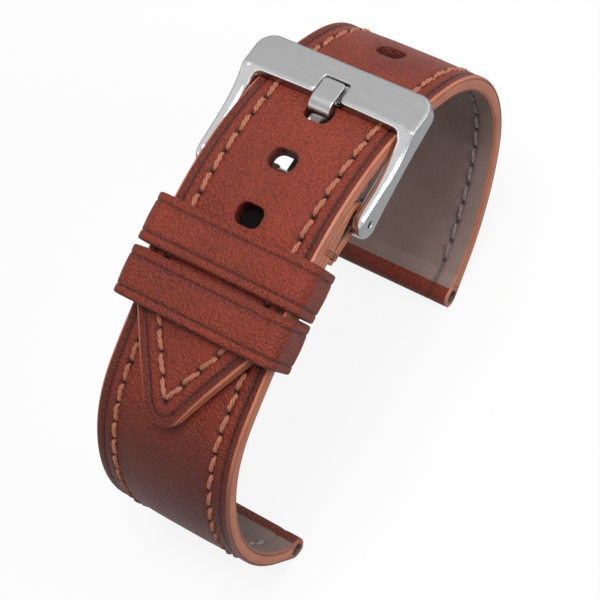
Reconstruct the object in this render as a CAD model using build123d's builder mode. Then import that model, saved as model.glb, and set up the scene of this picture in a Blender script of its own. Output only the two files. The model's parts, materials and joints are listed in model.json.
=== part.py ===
from build123d import *
import os
from math import atan2, cos, hypot, radians, sin, tan

# Two-piece leather watch strap, fastened into a loop.
# It stands on its two lug ends, with the buckle on top.
# X runs from the buckle strap's lug end to the tail strap's, Y across the strap, Z up.

# Leather
strap_width = 22.0
cover_thickness = 0.7
filler_thickness = 0.9
lining_thickness = 0.6
mating_gap = 0.1

# The loop is the line where the tail strap lies on the buckle strap, from lug end to lug end:
# a straight run, six tangent arcs and a straight run. Angles are in degrees.
first_run = 6.5
lug_bend_radius = 25.7
lug_bend_angle = 63.8
crown_radius = 19.4
crown_angle = 28.7
keeper_bend_radius = 83.4
keeper_bend_angle = 16.7
buckle_bend_radius = 38.2
buckle_bend_angle = 46.0
side_bend_radius = 16.1
side_bend_angle = 85.2
tail_bend_radius = 36.7
tail_bend_angle = 28.5
last_run = 7.0

# Lug ends: the cover folds round a tunnel for the watch's own spring bar
lug_bore_radius = 1.0
lug_lip_angle = 35.0
lug_flap_length = 5.0

# Buckle strap, from its lug end to the spring bar
buckle_strap_length = 75.7
bar_flap_length = 7.2
skive_length = 5.0
tongue_slot_clearance = 0.35

# Tail strap, with its pointed tip and its holes
tail_overlap = 35.1
tip_half_angle = 30.0
tip_nose_radius = 3.2
first_hole_from_tip = 28.6
hole_pitch = 8.05
hole_count = 5
tongue_hole_index = 2
hole_width = 3.9
hole_length = 3.0
hole_corner_radius = 1.2

# Keepers
keeper_width = 6.8
keeper_cover_thickness = 0.9
keeper_lining_thickness = 0.6
keeper_side_clearance = 0.4
keeper_clearance = 0.2
keeper_inner_round = 0.6
keeper_seat_gap = 0.15
fixed_keeper_from_bar = 8.4
keeper_gap = 0.5

# Spring bar: a tube with a sprung pin in each end
bar_tube_radius = 0.9
bar_tube_wall = 0.15
bar_lip_length = 0.3
bar_clearance = 0.05
pin_head_length = 1.0
pin_shaft_radius = 0.5
pin_collar_radius = 0.8
pin_collar_length = 0.3
pin_tip_radius = 0.42
pin_tip_length = 1.2
pin_tip_chamfer = 0.12
pin_travel = 1.25
spring_wire_radius = 0.1
spring_turns = 5

# Buckle frame, measured from the spring bar's axis
frame_side_gap = 0.35
arm_thickness = 2.3
ear_thickness = 1.9
ear_radius = 2.1
ear_clearance = 0.08
arm_waist = 6.0
arm_top_waist = 2.3
arm_bottom_waist = -0.5
bar_front = 12.0
bar_depth = 5.9
bar_front_height = 4.2
bar_back_height = 3.4
bar_front_thickness = 1.4
bar_back_thickness = 2.0
frame_corner_radius = 2.5
window_corner_radius = 1.0
frame_edge = 0.3
bar_rest_gap = 0.07
halving_count = 40
recess_depth = 0.7
recess_length = 3.0

# Tongue
tongue_width = 3.35
tongue_thickness = 1.0
tongue_side_gap = 0.3
tongue_tip_gap = 0.2
tongue_seat_gap = 0.05
tongue_lean = 6.0
tongue_heel_radius = 1.3
tongue_bend_radius = 1.3
tongue_tip_round = 0.9
tongue_offset_in_hole = 0.25

# Every cut runs this far past what it cuts
overrun = 2.0

strap_thickness = cover_thickness + filler_thickness + lining_thickness
outer = mating_gap + strap_thickness
half_width = strap_width / 2
lug_fold_radius = lug_bore_radius + cover_thickness
bar_bore_radius = bar_tube_radius + bar_clearance
bar_fold_radius = bar_bore_radius + lining_thickness + cover_thickness


def walk(x, z, heading):
    """Stretches of the loop: place along it, start point, heading, radius or None, and length."""
    found, place = [], 0.0
    bends = (
        (lug_bend_radius, lug_bend_angle),
        (crown_radius, crown_angle),
        (keeper_bend_radius, keeper_bend_angle),
        (buckle_bend_radius, buckle_bend_angle),
        (side_bend_radius, side_bend_angle),
        (tail_bend_radius, tail_bend_angle),
    )
    for radius, amount in ((None, first_run), *bends, (None, last_run)):
        length = amount if radius is None else radius * radians(amount)
        found.append((place, x, z, heading, radius, length))
        x, z, heading = step(x, z, heading, radius, length)
        place += length
    return found


def step(x, z, heading, radius, length):
    """Where a straight run or a clockwise arc of this length ends, and its heading there."""
    if radius is None:
        return x + length * cos(heading), z + length * sin(heading), heading
    turned = heading - length / radius
    return (
        x + radius * (sin(heading) - sin(turned)),
        z + radius * (cos(turned) - cos(heading)),
        turned,
    )


def at(s, n, along=0.0):
    """Point n outward of the loop at place s, after a straight step along the heading there."""
    for place, x, z, heading, radius, length in stretches:
        if s <= place + length:
            break
    x, z, heading = step(x, z, heading, radius, s - place)
    return (
        x - n * sin(heading) + along * cos(heading),
        z + n * cos(heading) + along * sin(heading),
    )


def heading_at(s):
    (x0, z0), (x1, z1) = at(s, 0), at(s, 0, overrun)
    return atan2(z1 - z0, x1 - x0)


def follow(s_from, s_to, n):
    """Draws the loop's line between two places, n outward of it."""
    for place, x, z, heading, radius, length in stretches:
        start, end = max(s_from, place), min(s_to, place + length)
        if start < end and radius is None:
            Line(at(start, n), at(end, n))
        elif start < end:
            ThreePointArc(at(start, n), at((start + end) / 2, n), at(end, n))


def face_plane(s, n):
    """Plane on the strap's face: its x runs along the strap and its y across it."""
    (x, z), turn = at(s, n), heading_at(s)
    return Plane(origin=(x, 0, z), x_dir=(cos(turn), 0, sin(turn)), z_dir=(-sin(turn), 0, cos(turn)))


def section_plane(s):
    """Plane across the strap: its x runs across the strap and its y outward of it."""
    (x, z), turn = at(s, 0), heading_at(s)
    return Plane(origin=(x, 0, z), x_dir=(0, 1, 0), z_dir=(cos(turn), 0, sin(turn)))


def bend_centre(index):
    """Centre of one of the loop's arcs, whose stretches are counted from the buckle strap's lug end."""
    place, x, z, heading, radius, length = stretches[index]
    return x + radius * sin(heading), z - radius * cos(heading)


def buckle_lug(along, depth):
    """Point of the buckle strap's lug end: along from the end, and depth below the outer face."""
    return at(along, -depth)


def tail_lug(along, depth):
    """Point of the tail strap's lug end, the same way."""
    return at(loop_length - along, outer - depth)


# The loop is walked level, then turned until its two lug folds stand at one height,
# and moved until it stands at Z 0 with X 0 half way between its two sides
stretches = walk(0.0, 0.0, 0.0)
loop_length = stretches[-1][0] + last_run
(x0, z0), (x1, z1) = (lug(lug_fold_radius, lug_fold_radius) for lug in (buckle_lug, tail_lug))
start_heading = -atan2(z1 - z0, x1 - x0)
stretches = walk(0.0, 0.0, start_heading)
left = bend_centre(1)[0] - lug_bend_radius
right = bend_centre(5)[0] + side_bend_radius + outer
stretches = walk(
    -(left + right) / 2,
    lug_fold_radius - buckle_lug(lug_fold_radius, lug_fold_radius)[1],
    start_heading,
)

bar_at = buckle_strap_length
tip_at = bar_at - tail_overlap
hole_places = [tip_at + first_hole_from_tip + hole_pitch * i for i in range(hole_count)]
bar_x, bar_z = at(bar_at, -bar_fold_radius)
fixed_keeper_at = bar_at - fixed_keeper_from_bar - keeper_width / 2
floating_keeper_at = fixed_keeper_at - keeper_gap - keeper_width

lip_along = lug_bore_radius * cos(radians(lug_lip_angle))
lip_depth = lug_bore_radius * sin(radians(lug_lip_angle))


def lug_cover(lug):
    """Draws the cover's fold round a lug tunnel, from its outer face to its inner one."""
    r, end = lug_fold_radius, strap_thickness
    upper_lip = lug(r + lip_along, r - lip_depth)
    lower_lip = lug(r + lip_along, r + lip_depth)
    ThreePointArc(lug(r, 0), lug(0, r), lug(r, 2 * r))
    Polyline(
        lug(r, 2 * r),
        lug(lug_flap_length, end),
        lug(lug_flap_length, end - cover_thickness),
        lower_lip,
    )
    ThreePointArc(lower_lip, lug(r - lug_bore_radius, r), upper_lip)
    Line(upper_lip, lug(r + 2 * lip_along, cover_thickness))


def lug_filler(lug):
    """Draws the filler's end: it closes the tunnel and runs on down to the flap and the lining."""
    r, end = lug_fold_radius, strap_thickness
    upper_lip = lug(r + lip_along, r - lip_depth)
    lower_lip = lug(r + lip_along, r + lip_depth)
    Line(lug(r + 2 * lip_along, cover_thickness), upper_lip)
    ThreePointArc(upper_lip, lug(r + lug_bore_radius, r), lower_lip)
    Polyline(
        lower_lip,
        lug(lug_flap_length, end - cover_thickness),
        lug(lug_flap_length, end - lining_thickness),
    )


lug_inner_start = lug_fold_radius + 2 * lip_along
bar_inner_radius = bar_fold_radius - cover_thickness
skive_at = bar_at - skive_length
bar_flap_at = bar_at - bar_flap_length
flap_top = -(strap_thickness + mating_gap)
flap_middle = flap_top - lining_thickness
flap_bottom = flap_middle - cover_thickness
tongue_slot = tongue_width + 2 * tongue_slot_clearance
tongue_loop_radius = bar_bore_radius + tongue_thickness
tongue_slot_back = tongue_loop_radius + tongue_slot_clearance


def bar_arc(radius):
    """Draws a half circle round the spring bar, on its buckle side."""
    ThreePointArc(
        at(bar_at, radius - bar_fold_radius),
        at(bar_at, -bar_fold_radius, radius),
        at(bar_at, -radius - bar_fold_radius),
    )


def cut_tongue_slot():
    """Cuts the slot for the tongue through the fold round the spring bar."""
    with BuildSketch(face_plane(bar_at, overrun)) as slot:
        with Locations(((overrun + bar_fold_radius - tongue_slot_back) / 2, 0)):
            Rectangle(tongue_slot_back + bar_fold_radius + overrun, tongue_slot)
    extrude(slot.sketch, amount=-2 * (overrun + bar_fold_radius), mode=Mode.SUBTRACT)


# Cover of the buckle strap: round the lug tunnel, along the top, round the spring bar and back
with BuildPart() as buckle_strap_cover:
    with BuildSketch(Plane.XZ):
        with BuildLine():
            lug_cover(buckle_lug)
            follow(lug_fold_radius, bar_at, 0)
            bar_arc(bar_fold_radius)
            Polyline(
                at(bar_at, -2 * bar_fold_radius),
                at(bar_flap_at, flap_bottom),
                at(bar_flap_at, flap_middle),
                at(bar_at, -bar_inner_radius - bar_fold_radius),
            )
            bar_arc(bar_inner_radius)
            follow(lug_inner_start, bar_at, -cover_thickness)
        make_face()
    extrude(amount=half_width, both=True)
    cut_tongue_slot()

# Filler of the buckle strap: it ends in a skived edge before the spring bar
with BuildPart() as buckle_strap_filler:
    with BuildSketch(Plane.XZ):
        with BuildLine():
            lug_filler(buckle_lug)
            follow(lug_inner_start, bar_at, -cover_thickness)
            Line(at(bar_at, -cover_thickness), at(skive_at, lining_thickness - strap_thickness))
            follow(lug_flap_length, skive_at, lining_thickness - strap_thickness)
        make_face()
    extrude(amount=half_width, both=True)
    cut_tongue_slot()

# Lining of the buckle strap: along the wrist side, round the spring bar inside the cover, and back
with BuildPart() as buckle_strap_lining:
    with BuildSketch(Plane.XZ):
        with BuildLine():
            follow(lug_flap_length, skive_at, lining_thickness - strap_thickness)
            Line(at(skive_at, lining_thickness - strap_thickness), at(bar_at, -cover_thickness))
            bar_arc(bar_inner_radius)
            Polyline(
                at(bar_at, -bar_inner_radius - bar_fold_radius),
                at(bar_flap_at, flap_middle),
                at(bar_flap_at, flap_top),
                at(bar_at, -bar_bore_radius - bar_fold_radius),
            )
            bar_arc(bar_bore_radius)
            Line(at(bar_at, bar_bore_radius - bar_fold_radius), at(skive_at, -strap_thickness))
            follow(lug_flap_length, skive_at, -strap_thickness)
            Line(
                at(lug_flap_length, -strap_thickness),
                at(lug_flap_length, lining_thickness - strap_thickness),
            )
        make_face()
    extrude(amount=half_width, both=True)
    cut_tongue_slot()

sharp_tip_length = half_width / tan(radians(tip_half_angle))
nose_setback = tip_nose_radius / sin(radians(tip_half_angle)) - tip_nose_radius
tip_length = sharp_tip_length - nose_setback
tail_start = tip_at - overrun


def cut_tip_and_holes():
    """Cuts the tail strap's pointed tip and its row of holes."""
    back = tip_length / 2
    point = back - sharp_tip_length
    edge = half_width + overrun
    with BuildSketch(face_plane(tip_at + tip_length / 2, outer)) as waste:
        with BuildLine():
            FilletPolyline((back, half_width), (point, 0), (back, -half_width), radius=tip_nose_radius)
            Polyline(
                (back, -half_width),
                (back, -edge),
                (point - overrun, -edge),
                (point - overrun, edge),
                (back, edge),
                (back, half_width),
            )
        make_face()
    extrude(waste.sketch, amount=-outer - 2 * overrun, mode=Mode.SUBTRACT)
    for place in hole_places:
        with BuildSketch(face_plane(place, outer + overrun)) as hole:
            RectangleRounded(hole_length, hole_width, hole_corner_radius)
        extrude(hole.sketch, amount=-outer - 2 * overrun, mode=Mode.SUBTRACT)


# Cover of the tail strap: from the tip along the outside and round the lug tunnel
with BuildPart() as tail_strap_cover:
    with BuildSketch(Plane.XZ):
        with BuildLine():
            follow(tail_start, loop_length - lug_fold_radius, outer)
            lug_cover(tail_lug)
            follow(tail_start, loop_length - lug_inner_start, outer - cover_thickness)
            Line(at(tail_start, outer - cover_thickness), at(tail_start, outer))
        make_face()
    extrude(amount=half_width, both=True)
    cut_tip_and_holes()

# Filler of the tail strap
with BuildPart() as tail_strap_filler:
    with BuildSketch(Plane.XZ):
        with BuildLine():
            follow(tail_start, loop_length - lug_inner_start, outer - cover_thickness)
            lug_filler(tail_lug)
            follow(tail_start, loop_length - lug_flap_length, mating_gap + lining_thickness)
            Line(at(tail_start, mating_gap + lining_thickness), at(tail_start, outer - cover_thickness))
        make_face()
    extrude(amount=half_width, both=True)
    cut_tip_and_holes()

# Lining of the tail strap: it ends where the cover's flap begins
with BuildPart() as tail_strap_lining:
    with BuildSketch(Plane.XZ):
        with BuildLine():
            follow(tail_start, loop_length - lug_flap_length, mating_gap + lining_thickness)
            follow(tail_start, loop_length - lug_flap_length, mating_gap)
            for end in (tail_start, loop_length - lug_flap_length):
                Line(at(end, mating_gap), at(end, mating_gap + lining_thickness))
        make_face()
    extrude(amount=half_width, both=True)
    cut_tip_and_holes()

keeper_inner_width = strap_width + 2 * keeper_side_clearance


def keeper_ring(place, low, wall_from, wall_to):
    """A band round both straps, between two distances from its inside."""
    inner_height = outer + keeper_clearance - low
    with BuildSketch(section_plane(place)) as band:
        with Locations((0, low + inner_height / 2)):
            for wall, mode in ((wall_to, Mode.ADD), (wall_from, Mode.SUBTRACT)):
                RectangleRounded(
                    keeper_inner_width + 2 * wall,
                    inner_height + 2 * wall,
                    keeper_inner_round + wall,
                    mode=mode,
                )
    extrude(band.sketch, amount=keeper_width / 2, both=True)


keeper_thickness = keeper_lining_thickness + keeper_cover_thickness
floating_low = -strap_thickness - keeper_clearance
fixed_low = -strap_thickness - keeper_seat_gap

# The fixed keeper sits against the buckle strap's lining
with BuildPart() as fixed_keeper_lining:
    keeper_ring(fixed_keeper_at, fixed_low, 0, keeper_lining_thickness)

with BuildPart() as fixed_keeper_cover:
    keeper_ring(fixed_keeper_at, fixed_low, keeper_lining_thickness, keeper_thickness)

# The floating keeper is loose all round
with BuildPart() as floating_keeper_lining:
    keeper_ring(floating_keeper_at, floating_low, 0, keeper_lining_thickness)

with BuildPart() as floating_keeper_cover:
    keeper_ring(floating_keeper_at, floating_low, keeper_lining_thickness, keeper_thickness)

arm_inside = half_width + frame_side_gap
arm_outside = arm_inside + arm_thickness
collar_end = arm_inside - bar_clearance
collar_start = collar_end - pin_collar_length
bar_tube_half = collar_start - bar_clearance - pin_travel
head_end = bar_tube_half - bar_lip_length
head_start = head_end - pin_head_length
tube_bore_radius = bar_tube_radius - bar_tube_wall
lip_bore_radius = pin_shaft_radius + bar_clearance
head_radius = tube_bore_radius - bar_clearance

# Half plane through the spring bar's axis: x is the radius and y runs across the strap
turning_plane = Plane(origin=(bar_x, 0, bar_z), x_dir=(0, 0, 1), z_dir=(-1, 0, 0))
bar_axis = Axis((bar_x, 0, bar_z), (0, 1, 0))

# Tube of the spring bar, with its ends closed in on the pins
with BuildPart() as spring_bar_tube:
    with BuildSketch(turning_plane):
        with BuildLine():
            Polyline(
                (bar_tube_radius, -bar_tube_half),
                (bar_tube_radius, bar_tube_half),
                (lip_bore_radius, bar_tube_half),
                (lip_bore_radius, head_end),
                (tube_bore_radius, head_end),
                (tube_bore_radius, -head_end),
                (lip_bore_radius, -head_end),
                (lip_bore_radius, -bar_tube_half),
                close=True,
            )
        make_face()
    revolve(axis=bar_axis)


def pin(side):
    """Turns one pin: head, shaft, collar and chamfered tip, towards +Y or -Y."""
    tip_end = collar_end + pin_tip_length
    with BuildSketch(turning_plane) as half:
        with BuildLine():
            Polyline(
                (0, side * head_start),
                (head_radius, side * head_start),
                (head_radius, side * head_end),
                (pin_shaft_radius, side * head_end),
                (pin_shaft_radius, side * collar_start),
                (pin_collar_radius, side * collar_start),
                (pin_collar_radius, side * collar_end),
                (pin_tip_radius, side * collar_end),
                (pin_tip_radius, side * (tip_end - pin_tip_chamfer)),
                (pin_tip_radius - pin_tip_chamfer, side * tip_end),
                (0, side * tip_end),
                close=True,
            )
        make_face()
    revolve(half.sketch, axis=bar_axis)


# The two pins of the spring bar, one in each ear of the buckle
with BuildPart() as spring_bar_pin_left:
    pin(1)

with BuildPart() as spring_bar_pin_right:
    pin(-1)

# Spring between the two pins
spring_length = 2 * (head_start - spring_wire_radius)
spring_radius = head_radius - spring_wire_radius
with BuildPart() as spring_bar_spring:
    with BuildLine() as coil:
        Helix(
            pitch=spring_length / spring_turns,
            height=spring_length,
            radius=spring_radius,
            center=(bar_x, -spring_length / 2, bar_z),
            direction=(0, 1, 0),
        )
    with BuildSketch(Plane(origin=coil.line @ 0, z_dir=coil.line % 0)):
        RegularPolygon(spring_wire_radius, 4)
    sweep(is_frenet=True)

bar_back = bar_front + bar_depth
bar_slope = (bar_back_height - bar_front_height) / bar_depth
front_low = bar_front_height - bar_front_thickness
back_low = bar_back_height - bar_back_thickness


def bar_top(along):
    """Height of the front bar's top face over the spring bar's axis."""
    return bar_front_height + bar_slope * (along - bar_front)


def turn_onto_strap(along, height):
    """Turn of the buckle at which this point of it, taken from the spring bar, rests on the strap."""
    reach = hypot(along, height)
    near, far = bar_at, bar_at + 2 * reach
    for _ in range(halving_count):
        middle = (near + far) / 2
        x, z = at(middle, outer + bar_rest_gap)
        if hypot(x - bar_x, z - bar_z) < reach:
            near = middle
        else:
            far = middle
    return atan2(z - bar_z, x - bar_x) - atan2(height, along)


# The buckle lies on the tail strap with the front, middle or back of its bar, whichever meets it first
buckle_turn = max(
    turn_onto_strap(bar_front, front_low),
    turn_onto_strap(bar_front + bar_depth / 2, (front_low + back_low) / 2),
    turn_onto_strap(bar_back, back_low),
)
bar_plane = Plane(
    origin=(bar_x, 0, bar_z),
    x_dir=(cos(buckle_turn), 0, sin(buckle_turn)),
    z_dir=(0, -1, 0),
)
plan_plane = Plane(
    origin=(bar_x, 0, bar_z),
    x_dir=(cos(buckle_turn), 0, sin(buckle_turn)),
    z_dir=(-sin(buckle_turn), 0, cos(buckle_turn)),
)
upright = Axis((bar_x, 0, bar_z), (-sin(buckle_turn), 0, cos(buckle_turn)))


# Buckle frame: a front bar on two arms, whose ears turn on the spring bar's pins
with BuildPart() as buckle_frame:
    with BuildSketch(bar_plane):
        with BuildLine():
            ThreePointArc((0, ear_radius), (-ear_radius, 0), (0, -ear_radius))
            ThreePointArc((0, -ear_radius), (arm_waist, arm_bottom_waist), (bar_back, back_low))
            Polyline((bar_back, back_low), (bar_back, bar_back_height), (bar_front, bar_front_height))
            top = TangentArc((0, ear_radius), (arm_waist, arm_top_waist), tangent=(1, 0))
            TangentArc(top @ 1, (bar_front, bar_front_height), tangent=top % 1)
        make_face()
    extrude(amount=arm_outside, both=True)
    # The arms thin out towards the ears, on their outer sides
    with BuildSketch(plan_plane):
        for side in (1, -1):
            with BuildLine():
                Polyline(
                    (bar_back, side * arm_outside),
                    (-ear_radius, side * (arm_inside + ear_thickness)),
                    (-ear_radius - overrun, side * (arm_outside + overrun)),
                    (bar_back, side * (arm_outside + overrun)),
                    close=True,
                )
            make_face()
    extrude(amount=bar_front_height + overrun, both=True, mode=Mode.SUBTRACT)
    fillet(edges().filter_by(upright), radius=frame_corner_radius)
    chamfer(faces().sort_by(Axis.Y)[0].edges() + faces().sort_by(Axis.Y)[-1].edges(), length=frame_edge)
    # The window, and the space for the tail strap under the bar
    with BuildSketch(bar_plane):
        with BuildLine():
            Polyline(
                (-ear_radius - overrun, -ear_radius - overrun),
                (-ear_radius - overrun, bar_front_height + overrun),
                (bar_front, bar_front_height + overrun),
                (bar_front, front_low),
                (bar_back, back_low),
                (bar_back + overrun, back_low),
                (bar_back + overrun, -ear_radius - overrun),
                close=True,
            )
        make_face()
    extrude(amount=arm_inside, both=True, mode=Mode.SUBTRACT)
    window_corners = edges().filter_by(upright).filter_by_position(Axis.Y, -arm_inside, arm_inside)
    fillet(window_corners, radius=window_corner_radius)
    # Holes for the pins
    with BuildSketch(bar_plane):
        Circle(pin_tip_radius + ear_clearance)
    extrude(amount=arm_outside + overrun, both=True, mode=Mode.SUBTRACT)
    # The recess that the tongue's tip lies in
    recess_end = bar_front + recess_length
    with BuildSketch(bar_plane):
        with BuildLine():
            Polyline(
                (bar_front - overrun, bar_top(bar_front - overrun) - recess_depth),
                (recess_end, bar_top(recess_end) - recess_depth),
                (recess_end, bar_front_height + overrun),
                (bar_front - overrun, bar_front_height + overrun),
                close=True,
            )
        make_face()
    extrude(amount=tongue_width / 2 + tongue_side_gap, both=True, mode=Mode.SUBTRACT)

# Tongue: a loop round the spring bar, a shank under the tail strap, a rise through a hole
# and a tip that lies in the bar's recess
shank_height = -bar_bore_radius - tongue_thickness / 2
hole_x, hole_z = at(hole_places[tongue_hole_index], mating_gap + strap_thickness / 2, tongue_offset_in_hole)
hole_along = (hole_x - bar_x) * cos(buckle_turn) + (hole_z - bar_z) * sin(buckle_turn)
hole_height = (hole_z - bar_z) * cos(buckle_turn) - (hole_x - bar_x) * sin(buckle_turn)
lean = tan(radians(tongue_lean))
seat_lift = tongue_seat_gap + tongue_thickness / 2 - recess_depth
bend_height = (bar_top(hole_along - hole_height * lean) + seat_lift) / (1 - bar_slope * lean)
bend_along = hole_along + (bend_height - hole_height) * lean
heel_along = hole_along + (shank_height - hole_height) * lean
tip_along = recess_end - tongue_tip_gap - tongue_thickness / 2
with BuildPart() as buckle_tongue:
    with BuildSketch(bar_plane):
        with BuildLine():
            FilletPolyline(
                (0, shank_height),
                (heel_along, shank_height),
                (bend_along, bend_height),
                (tip_along, bar_top(tip_along) + seat_lift),
                radius=(tongue_heel_radius, tongue_bend_radius),
            )
            offset(amount=tongue_thickness / 2)
        make_face()
        Circle(tongue_loop_radius)
        Circle(bar_bore_radius, mode=Mode.SUBTRACT)
    extrude(amount=tongue_width / 2, both=True)
    with BuildSketch(plan_plane):
        with Locations((recess_end - tongue_tip_gap, 0)):
            RectangleRounded(
                2 * (recess_end + tongue_loop_radius),
                tongue_width,
                tongue_tip_round,
                align=(Align.MAX, Align.CENTER),
            )
    extrude(amount=bar_front_height + overrun, both=True, mode=Mode.INTERSECT)

pieces = {
    "buckle_strap_cover": buckle_strap_cover,
    "buckle_strap_filler": buckle_strap_filler,
    "buckle_strap_lining": buckle_strap_lining,
    "tail_strap_cover": tail_strap_cover,
    "tail_strap_filler": tail_strap_filler,
    "tail_strap_lining": tail_strap_lining,
    "fixed_keeper_cover": fixed_keeper_cover,
    "fixed_keeper_lining": fixed_keeper_lining,
    "floating_keeper_cover": floating_keeper_cover,
    "floating_keeper_lining": floating_keeper_lining,
    "spring_bar_tube": spring_bar_tube,
    "spring_bar_pin_left": spring_bar_pin_left,
    "spring_bar_pin_right": spring_bar_pin_right,
    "spring_bar_spring": spring_bar_spring,
    "buckle_frame": buckle_frame,
    "buckle_tongue": buckle_tongue,
}
os.makedirs("parts", exist_ok=True)
for label, piece in pieces.items():
    piece.part.label = label
    export_step(piece.part, f"parts/{label}.step")
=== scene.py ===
import json
import math
from collections import namedtuple

import bpy
import numpy as np
from mathutils import Matrix, Vector


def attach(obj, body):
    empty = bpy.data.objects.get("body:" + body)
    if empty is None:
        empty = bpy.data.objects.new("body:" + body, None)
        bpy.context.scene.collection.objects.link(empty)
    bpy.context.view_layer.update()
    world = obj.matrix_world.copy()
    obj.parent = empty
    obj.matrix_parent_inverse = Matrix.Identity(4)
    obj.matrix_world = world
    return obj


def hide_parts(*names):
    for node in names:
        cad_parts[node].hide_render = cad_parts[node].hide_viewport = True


# A leather watch strap, fastened into a loop. Lengths here are in millimetres, and every
# finished mesh is written in metres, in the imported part's own frame.
MM = 0.001
TINY = 1e-6

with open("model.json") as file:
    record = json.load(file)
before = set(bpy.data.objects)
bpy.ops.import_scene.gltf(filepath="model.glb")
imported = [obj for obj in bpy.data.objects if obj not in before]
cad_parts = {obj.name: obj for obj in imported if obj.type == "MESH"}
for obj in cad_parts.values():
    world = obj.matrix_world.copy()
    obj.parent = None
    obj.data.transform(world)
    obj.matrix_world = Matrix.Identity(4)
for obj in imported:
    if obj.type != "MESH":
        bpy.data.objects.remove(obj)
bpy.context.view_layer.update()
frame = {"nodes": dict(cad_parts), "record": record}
record = frame["record"]
mount_places = {m["name"]: (m["pos_m"][0] / MM, m["pos_m"][2] / MM) for m in record["mounts"]}

# ---- The strap's sizes, as the part has them
HALF_WIDTH = 11.0
THICKNESS = 2.2
MATING_GAP = 0.1
OUTER = THICKNESS + MATING_GAP
# The loop's stretches: radius and turn in degrees, or None and length
RUNS = (
    (None, 6.5),
    (25.7, 63.8),
    (19.4, 28.7),
    (83.4, 16.7),
    (38.2, 46.0),
    (16.1, 85.2),
    (36.7, 28.5),
    (None, 7.0),
)
LUG_RADIUS = 1.7
LUG_BORE = 1.0
LUG_FLAP = 5.0
LUG_ROLL = 3.0
LUG_MOUTH = 3.6
BAR_AT = 75.7
BAR_BORE = 0.95
BAR_FOLD = 2.25
BAR_FLAP = 7.2
SKIVE = 5.0
SLOT_HALF = 2.025
SLOT_BACK = 2.3
TAIL_OVERLAP = 35.1
TIP_AT = BAR_AT - TAIL_OVERLAP
TIP_ANGLE = math.radians(30)
NOSE_RADIUS = 3.2
FIRST_HOLE_FROM_TIP = 28.6
FIRST_HOLE = TIP_AT + FIRST_HOLE_FROM_TIP
HOLE_PITCH = 8.05
HOLE_COUNT = 5
HOLE_ACROSS = 3.9
HOLE_ALONG = 3.0
HOLE_CORNER = 1.2
KEEPER_WIDTH = 6.8
KEEPER_SIDE = 11.4
KEEPER_WALL = 1.5
KEEPER_ROUND = 0.6
KEEPER_SEAT = 0.15
KEEPER_CLEARANCE = 0.2
KEEPER_GAP = 0.5
FIXED_KEEPER_FROM_BAR = 8.4
FRAME_SIDE_GAP = 0.35
ARM_INSIDE = HALF_WIDTH + FRAME_SIDE_GAP
FIXED_KEEPER_AT = BAR_AT - FIXED_KEEPER_FROM_BAR - KEEPER_WIDTH / 2
FLOATING_KEEPER_AT = FIXED_KEEPER_AT - KEEPER_GAP - KEEPER_WIDTH


# ---- The loop's line
def step(x, z, heading, radius, length):
    """The point and heading after a straight or bent stretch."""
    if radius is None:
        return x + length * math.cos(heading), z + length * math.sin(heading), heading
    turned = heading - length / radius
    return (
        x + radius * (math.sin(heading) - math.sin(turned)),
        z + radius * (math.cos(turned) - math.cos(heading)),
        turned,
    )


def walk(x, z, heading):
    """The loop's stretches: place, start point, heading, radius or None, and length."""
    found, place = [], 0.0
    for radius, amount in RUNS:
        length = amount if radius is None else radius * math.radians(amount)
        found.append((place, x, z, heading, radius, length))
        x, z, heading = step(x, z, heading, radius, length)
        place += length
    return found


def place_on_loop(s):
    """Point and heading of the loop's line at place s."""
    for place, x, z, heading, radius, length in loop:
        if s <= place + length:
            break
    x, z, heading = step(x, z, heading, radius, s - place)
    return np.array((x, z)), heading


def directions(heading):
    """The loop's forward and outward directions for a heading."""
    along = np.array((math.cos(heading), math.sin(heading)))
    return along, np.array((-math.sin(heading), math.cos(heading)))


def at(s, n=0.0):
    """The point at place s, at height n above the loop's line."""
    point, heading = place_on_loop(s)
    return point + n * directions(heading)[1]


def heading_at(s):
    return place_on_loop(s)[1]


# The line is laid out level, then turned and moved until its two lug tunnels meet the mounts
loop = walk(0.0, 0.0, 0.0)
loop_length = loop[-1][0] + loop[-1][5]
lug_a = at(LUG_RADIUS, -LUG_RADIUS)
lug_b = at(loop_length - LUG_RADIUS, OUTER - LUG_RADIUS)
goal_a = np.array(mount_places["buckle_lug_bore"])
goal_b = np.array(mount_places["tail_lug_bore"])
turn = math.atan2(*(goal_b - goal_a)[::-1]) - math.atan2(*(lug_b - lug_a)[::-1])
loop = walk(0.0, 0.0, turn)
loop = walk(*(goal_a - at(LUG_RADIUS, -LUG_RADIUS)), turn)
BAR = at(BAR_AT, -BAR_FOLD)


# ---- Sections of the two straps: their outer and inner point at a place along them
FOLD_END = BAR_AT + math.pi * BAR_FOLD
FLAP_END = FOLD_END + BAR_FLAP


def lug_depths(e):
    """Depth of the outer and inner face at distance e from a lug end."""
    if e < LUG_RADIUS:
        half = math.sqrt(max(LUG_RADIUS**2 - (LUG_RADIUS - e) ** 2, 0.0))
        return LUG_RADIUS - half, LUG_RADIUS + half
    if e < LUG_FLAP:
        share = (e - LUG_RADIUS) / (LUG_FLAP - LUG_RADIUS)
        return 0.0, 2 * LUG_RADIUS + (THICKNESS - 2 * LUG_RADIUS) * share
    return 0.0, THICKNESS


def tail_section(s):
    top, low = lug_depths(loop_length - s)
    return at(s, OUTER - top), at(s, OUTER - low)


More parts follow.
